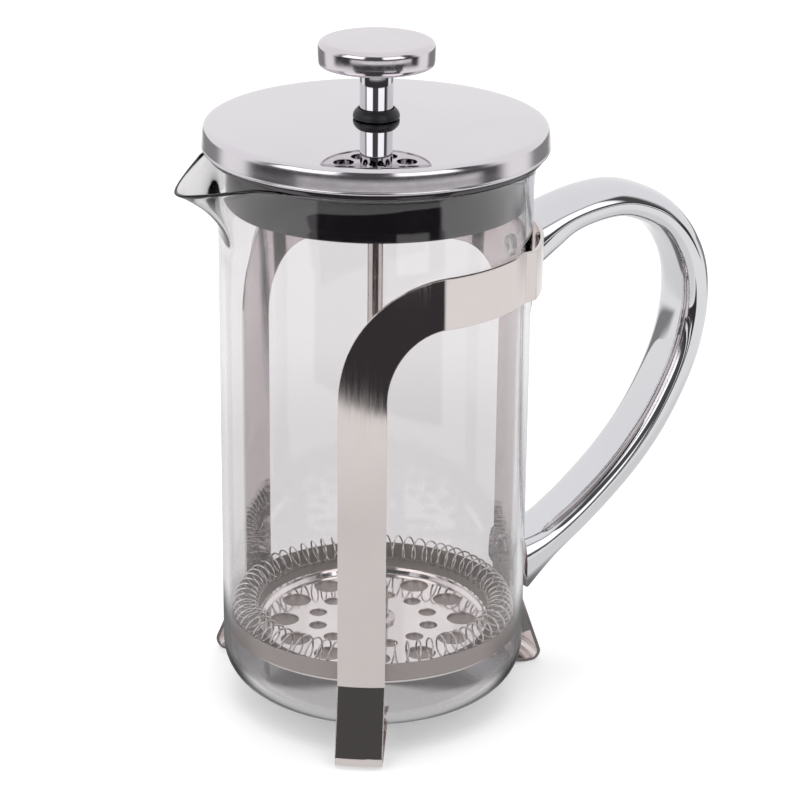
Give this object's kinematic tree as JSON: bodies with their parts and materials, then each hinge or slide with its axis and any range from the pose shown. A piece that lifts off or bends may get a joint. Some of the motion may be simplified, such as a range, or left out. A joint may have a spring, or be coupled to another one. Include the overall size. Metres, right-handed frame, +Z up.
{
  "type": "french press",
  "caption": "Press-style coffee maker: glass beaker with a pouring lip in a stamped three-legged steel frame with a loop handle, lid with a knobbed plunger rod and a coil-edged filter.",
  "frame": {"origin": "under the middle of the part's box, in the plane the three feet stand on; the beaker's axis stands 26.3 mm from it on the -X side", "axes": "+Z up, along the beaker's axis and the plunger rod, +X towards the handle, so that the pouring lip is at -X; Y runs across the mirror plane"},
  "size_m": [0.1843, 0.1084, 0.2151],
  "materials": {
    "frame_steel": "polished, brushed at the feet",
    "handle_chrome": "mirror",
    "screw_steel": "satin",
    "glass": "clear",
    "lid_steel": "polished",
    "collar_plastic": "gloss",
    "bushing_plastic": "matte",
    "rod_steel": "polished",
    "tube_chrome": "mirror",
    "knob_steel": "satin top",
    "knob_plastic": "moulded",
    "filter_steel": "satin",
    "mesh_steel": "woven wire",
    "coil_steel": "bright wire",
    "hub_steel": "turned"
  },
  "bodies": {
    "frame": {"frame": "frame_steel", "handle": "handle_chrome", "handle_screws": "screw_steel"},
    "beaker": {"beaker": "glass"},
    "lid_collar": {"lid_collar": "collar_plastic"},
    "lid_cover": {"lid_cover": "lid_steel"},
    "bushing": {"lid_bushing": "bushing_plastic", "bushing_nut": "bushing_plastic"},
    "plunger": {"plunger_rod": "rod_steel", "rod_tube": "tube_chrome", "knob_cap": "knob_steel", "knob_core": "knob_plastic", "cross_plate": "filter_steel", "mesh_screen": "mesh_steel", "spiral_plate": "filter_steel", "filter_coil": "coil_steel", "filter_hub": "hub_steel", "end_nut": "hub_steel"}
  },
  "joints": [
    {"name": "beaker_lift", "type": "slide", "parent": "frame", "child": "beaker", "axis": [0, 0, 1], "range_m": [0, 0.18]},
    {"name": "lid_lift", "type": "slide", "parent": "beaker", "child": "lid_collar", "axis": [0, 0, 1], "range_m": [0, 0.175]},
    {"name": "lid_turn", "type": "hinge", "parent": "lid_collar", "child": "lid_cover", "pos_m": [-0.0263, 0, 0.185], "axis": [0, 0, 1], "continuous": true},
    {"name": "plunger_turn", "type": "hinge", "parent": "lid_cover", "child": "bushing", "pos_m": [-0.0263, 0, 0.189], "axis": [0, 0, 1], "continuous": true},
    {"name": "plunger_slide", "type": "slide", "parent": "bushing", "child": "plunger", "axis": [0, 0, 1], "range_m": [0, 0.125]}
  ]
}
